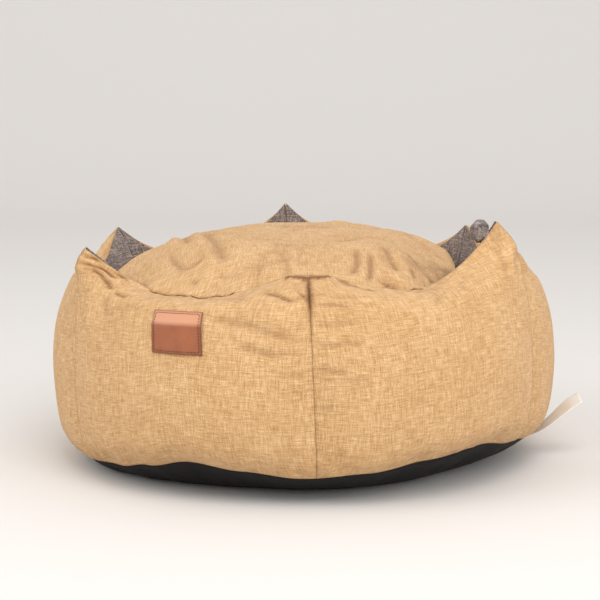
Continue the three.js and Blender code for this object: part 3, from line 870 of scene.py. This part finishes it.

# ---- The leather patch ----
# A plain brown leather rectangle 50 by 40 mm, sewn to the front left panel. It is stiff, so
# it bends once, below its top third, which gets a painted highlight: a paler colour than the rest.
leather, shader = material("brown_leather", 0.34)
place = Link.result("ShaderNodeTexCoord", output="Object")
pores = Link.result("ShaderNodeTexVoronoi", {}, Vector=place, Scale=1500.0)
cloud = Link.result("ShaderNodeTexNoise", {}, Vector=place, Scale=70.0, Detail=4.0)
mottle = Link.result("ShaderNodeTexNoise", {}, Vector=place, Scale=420.0, Detail=3.0)
shade = blended(cloud, (0.235, 0.06, 0.018), (0.42, 0.135, 0.05))
shade = blended(mottle * 0.35, shade, (0.16, 0.04, 0.014))
# Painted highlight: the top third, tilted up to the light, is mixed towards a pale colour.
pale = Link.result("ShaderNodeAttribute", {"attribute_name": "pale"}, output="Fac")
shade = blended(pale * 0.62, shade, (0.74, 0.36, 0.2))
edge_wear = Link.result("ShaderNodeAttribute", {"attribute_name": "crease"}, output="Fac")
blended(edge_wear, shade, (0.1, 0.028, 0.012)).into(shader, "Base Color")
relief = Link.result("ShaderNodeBump", {}, Strength=0.3, Distance=0.0003, Height=pores + mottle)
relief.into(shader, "Normal")
PATCH_DEG, PATCH_Z, PATCH_TURN, PATCH_LEAN = -28, 0.156, 0.02, 0.13
PATCH_W, PATCH_H, PATCH_THICK, PATCH_BEND = 0.050, 0.040, 0.0015, 0.007


def wall_under(u, v):
    """The wall's surface under a place on the patch."""
    x = u - v * PATCH_LEAN
    z = PATCH_Z + 0.0006 + (v + u * PATCH_TURN) * 0.92
    ray_from = polar(PATCH_DEG + math.degrees(x / 0.24), 0.32, z)
    return wall_trees[5].ray_cast(ray_from, -Vector((ray_from.x, ray_from.y, 0)).normalized())[0]


PATCH_U, PATCH_V = (-PATCH_W / 2, 0, PATCH_W / 2), (-PATCH_H / 2, PATCH_BEND, PATCH_H / 2)
patch_grid = [[wall_under(u, v) for u in PATCH_U] for v in PATCH_V]
patch_out = polar(PATCH_DEG, 1, 0.12).normalized()


def on_patch(u, v, lift=0.0):
    """A place on the patch's face: it is bent along two straight runs, and curved across."""
    s = u / (PATCH_W / 2)
    rows = [mix(row[1], row[2], s) if s > 0 else mix(row[1], row[0], -s) for row in patch_grid]
    if v > PATCH_BEND:
        near_bend = 1 - (v - PATCH_BEND) / 0.013
        place = mix(rows[1], rows[2], (v - PATCH_BEND) / (PATCH_V[2] - PATCH_BEND))
    else:
        near_bend = 1 - (PATCH_BEND - v) / 0.027
        place = mix(rows[0], rows[1], (v - PATCH_V[0]) / (PATCH_BEND - PATCH_V[0]))
    hollow = (1 - s * s) * 0.0009 + 0.0024 * clamp(near_bend)
    return place + patch_out * (0.0016 + hollow + lift)


patch_mesh = bmesh.new()
bmesh.ops.create_grid(patch_mesh, x_segments=24, y_segments=20, size=0.5)
painted_shade_and_wear_layer = patch_mesh.verts.layers.float.new("crease")
painted_highlight_layer = patch_mesh.verts.layers.float.new("pale")
for vert in patch_mesh.verts:
    u, v = vert.co.x * PATCH_W, vert.co.y * PATCH_H
    # The top third above the bend is marked for the painted highlight.
    vert[painted_highlight_layer] = clamp((v - PATCH_BEND) / 0.002)
    from_edge = min(PATCH_W / 2 - abs(u), PATCH_H / 2 - abs(v))
    vert[painted_shade_and_wear_layer] = clamp(1 - from_edge / 0.0018) * 0.7
    dip = -0.0003 * math.exp(-(((from_edge - 0.0024) / 0.001) ** 2))
    vert.co = on_patch(u, v, dip)
for face in patch_mesh.faces:
    face.smooth = True
patch_mesh.normal_update()
if patch_mesh.faces[:][0].normal.dot(patch_out) < 0:
    bmesh.ops.reverse_faces(patch_mesh, faces=patch_mesh.faces)
patch = placed("leather_piece", patch_mesh)
thick = patch.modifiers.new("thick", "SOLIDIFY")
thick.thickness = PATCH_THICK
thick.offset = -1
soft_edge = patch.modifiers.new("soft_edge", "BEVEL")
soft_edge.width = 0.0003
soft_edge.segments = 2
patch.data.materials.append(leather)
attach(patch, "root")
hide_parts("leather_patch")

# Its border of dark brown thread: separate stitches, each a small bead of thread.
thread, shader = material("dark_thread", 0.7)
place = Link.result("ShaderNodeTexCoord", output="Object")
twist = Link.result("ShaderNodeTexNoise", {}, Vector=place, Scale=2500.0)
blended(twist, (0.05, 0.018, 0.01), (0.12, 0.05, 0.03)).into(shader, "Base Color")
STITCH_HALF, THREAD_R = 0.00105, 0.0003
stitch_mesh = bmesh.new()
half_w, half_h, pitch = PATCH_W / 2 - 0.0024, PATCH_H / 2 - 0.0024, 0.0028
rows = [((-half_w, half_h), (half_w, half_h)), ((half_w, half_h), (half_w, -half_h)),
        ((half_w, -half_h), (-half_w, -half_h)), ((-half_w, -half_h), (-half_w, half_h))]
for (u0, v0), (u1, v1) in rows:
    count = round(math.hypot(u1 - u0, v1 - v0) / pitch)
    for n in range(count):
        s = (n + 0.5) / count
        u, v = mix(u0, u1, s), mix(v0, v1, s)
        ahead = (on_patch(u + (u1 - u0) * 0.01, v + (v1 - v0) * 0.01) - on_patch(u, v)).normalized()
        side = ahead.cross(patch_out).normalized()
        axes = Matrix((ahead * STITCH_HALF, side * THREAD_R, patch_out * THREAD_R))
        axes = axes.transposed().to_4x4()
        axes.translation = on_patch(u, v, 0.0001)
        bmesh.ops.create_icosphere(stitch_mesh, subdivisions=2, radius=1, matrix=axes)
for face in stitch_mesh.faces:
    face.smooth = True
bmesh.ops.recalc_face_normals(stitch_mesh, faces=stitch_mesh.faces)
stitches = placed("patch_stitches", stitch_mesh)
stitches.data.materials.append(thread)
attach(stitches, "root")

# ---- The care label ----
# White satin tape 27 mm wide, blank, caught in the base seam at the right and standing
# off it. Its free end is twisted a little to the front.
satin, shader = material("white_satin", 0.45)
place = Link.result("ShaderNodeUVMap", {"uv_map": "cloth"})
ribs = grain(place, 0.0003, 0.004) + grain(place, 0.004, 0.0003)
tone = 0.5 + ribs * 0.8
blended(tone, (0.86, 0.84, 0.8), (0.98, 0.97, 0.95)).into(shader, "Base Color")
relief = Link.result("ShaderNodeBump", {}, Strength=0.2, Distance=0.0002, Height=ribs)
relief.into(shader, "Normal")
LABEL_DEG, LABEL_WIDTH = 85, 0.027
LABEL_CURVE = [(0.3, -0.6), (11, 3.5), (22, 10.5), (33, 20.5), (43, 30), (53, 36)]
label_mesh = bmesh.new()
bmesh.ops.create_grid(label_mesh, x_segments=40, y_segments=14, size=0.5)
cloth_map = label_mesh.loops.layers.uv.new("cloth")
for vert in label_mesh.verts:
    for loop in vert.link_loops:
        loop[cloth_map].uv = (vert.co.x * 0.066, vert.co.y * LABEL_WIDTH)
label_line = spaced([Vector(p) / 1000 for p in LABEL_CURVE], 40)
root_z = base_edge(LABEL_DEG)[0]
for vert in label_mesh.verts:
    i, across = round((vert.co.x + 0.5) * 40), vert.co.y * LABEL_WIDTH
    point, s = label_line[i], i / 40
    ahead = label_line[min(i + 1, 40)] - label_line[max(i - 1, 0)]
    square = Vector((-ahead.y, ahead.x)).normalized()
    turn = math.radians(3 + 7 * s**1.5)
    wave = 0.0006 * math.sin(9 * s + across * 180) * s
    out = point + square * (across * math.sin(turn) + wave)
    side = across * math.cos(turn)
    deg = LABEL_DEG + math.degrees(side / 0.225)
    vert.co = polar(deg, 0.2229 + out.x, root_z + out.y)
for face in label_mesh.faces:
    face.smooth = True
label_mesh.normal_update()
label = placed("label_tape", label_mesh)
thick = label.modifiers.new("thick", "SOLIDIFY")
thick.thickness = 0.0006
thick.offset = 0
label.data.materials.append(satin)
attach(label, "root")
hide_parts("care_label")

# ---- The studio ----
# A pale floor that sweeps up behind the bed, one big soft light high in front, and a
# weaker one at each side.
floor_paint, shader = material("floor_paint", 0.9)
shader.inputs["Base Color"].default_value = (0.745, 0.725, 0.705, 1)
floor_mesh = bmesh.new()
line = [floor_mesh.verts.new((-4, y, z)) for y, z in ((-4, 0), (2.2, 0))]
arc_start = line[-1]
edges = [floor_mesh.edges.new(line)]
arc = bmesh.ops.spin(
    floor_mesh, geom=[arc_start], cent=(-4, 2.2, 1.2), axis=(1, 0, 0), angle=math.pi / 2, steps=24
)["geom_last"]
top = [v for v in arc if isinstance(v, bmesh.types.BMVert)][0]
edges.append(floor_mesh.edges.new((top, floor_mesh.verts.new((-4, 3.4, 4)))))
wide = bmesh.ops.extrude_edge_only(floor_mesh, edges=floor_mesh.edges[:])["geom"]
wide = [v for v in wide if isinstance(v, bmesh.types.BMVert)]
bmesh.ops.translate(floor_mesh, verts=wide, vec=(8, 0, 0))
bmesh.ops.remove_doubles(floor_mesh, verts=floor_mesh.verts, dist=0.0001)
for face in floor_mesh.faces:
    face.smooth = True
floor = placed("floor", floor_mesh)
floor.data.materials.append(floor_paint)

for name, place, size, power in (
    ("key_light", (0.45, -1.7, 2.1), 1.5, 26.5),
    ("side_light", (-1.9, -0.9, 1.5), 1.4, 15),
    ("fill_light", (1.7, -1.6, 1.1), 1.4, 13),
):
    lamp_data = bpy.data.lights.new(name, "AREA")
    lamp_data.size = size
    lamp_data.energy = power
    lamp = bpy.data.objects.new(name, lamp_data)
    lamp.location = place
    lamp.rotation_euler = (Vector((0, 0, 0.1)) - lamp.location).to_track_quat("-Z", "Y").to_euler()
    scene.collection.objects.link(lamp)
world = bpy.data.worlds.new("studio")
world.use_nodes = True
world.node_tree.nodes["Background"].inputs["Color"].default_value = (1, 0.98, 0.96, 1)
world.node_tree.nodes["Background"].inputs["Strength"].default_value = 0.86
scene.world = world
scene.view_settings.view_transform = "Standard"
